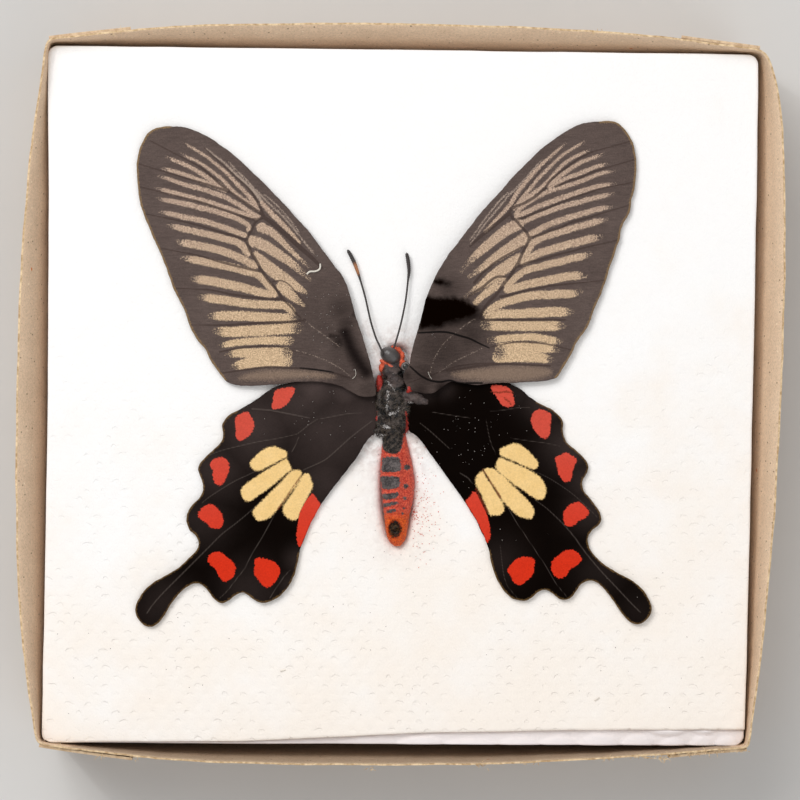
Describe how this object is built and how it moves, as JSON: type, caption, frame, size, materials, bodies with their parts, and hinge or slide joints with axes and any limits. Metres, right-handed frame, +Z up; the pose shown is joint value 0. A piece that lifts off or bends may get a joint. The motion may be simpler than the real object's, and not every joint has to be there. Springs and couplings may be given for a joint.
{
  "type": "framed butterfly specimen",
  "caption": "Dried clubtail swallowtail butterfly laid with spread wings on folded tissues in a shallow folded board tray.",
  "frame": {"origin": "centre of the tray's underside", "axes": "+Z up out of the tray, +Y towards the butterfly's head, +X towards the picture's right side"},
  "size_m": [0.1392, 0.1344, 0.0267],
  "materials": {
    "kraft_board": "matte folded kraft board with a paler fibrous cut edge",
    "tissue": "soft matte white tissue with faint embossing",
    "body_fur": "black cuticle with grey hair and a dull gloss",
    "head_fur": "red hair between grey glossy eyes",
    "abdomen_skin": "red cuticle with black bands and spots",
    "forewing_scales": "powdery brown scales with beige stripes",
    "hindwing_scales": "black scales with red and cream spots",
    "antenna_skin": "dark dull cuticle"
  },
  "bodies": {
    "root": {"tray": "kraft_board", "napkin_stack": "tissue", "napkin_top": "tissue", "thorax": "body_fur", "head": "head_fur", "abdomen": "abdomen_skin", "forewing_left": "forewing_scales", "forewing_right": "forewing_scales", "hindwing_left": "hindwing_scales", "hindwing_right": "hindwing_scales", "antenna_left": "antenna_skin", "antenna_right": "antenna_skin"}
  },
  "joints": []
}
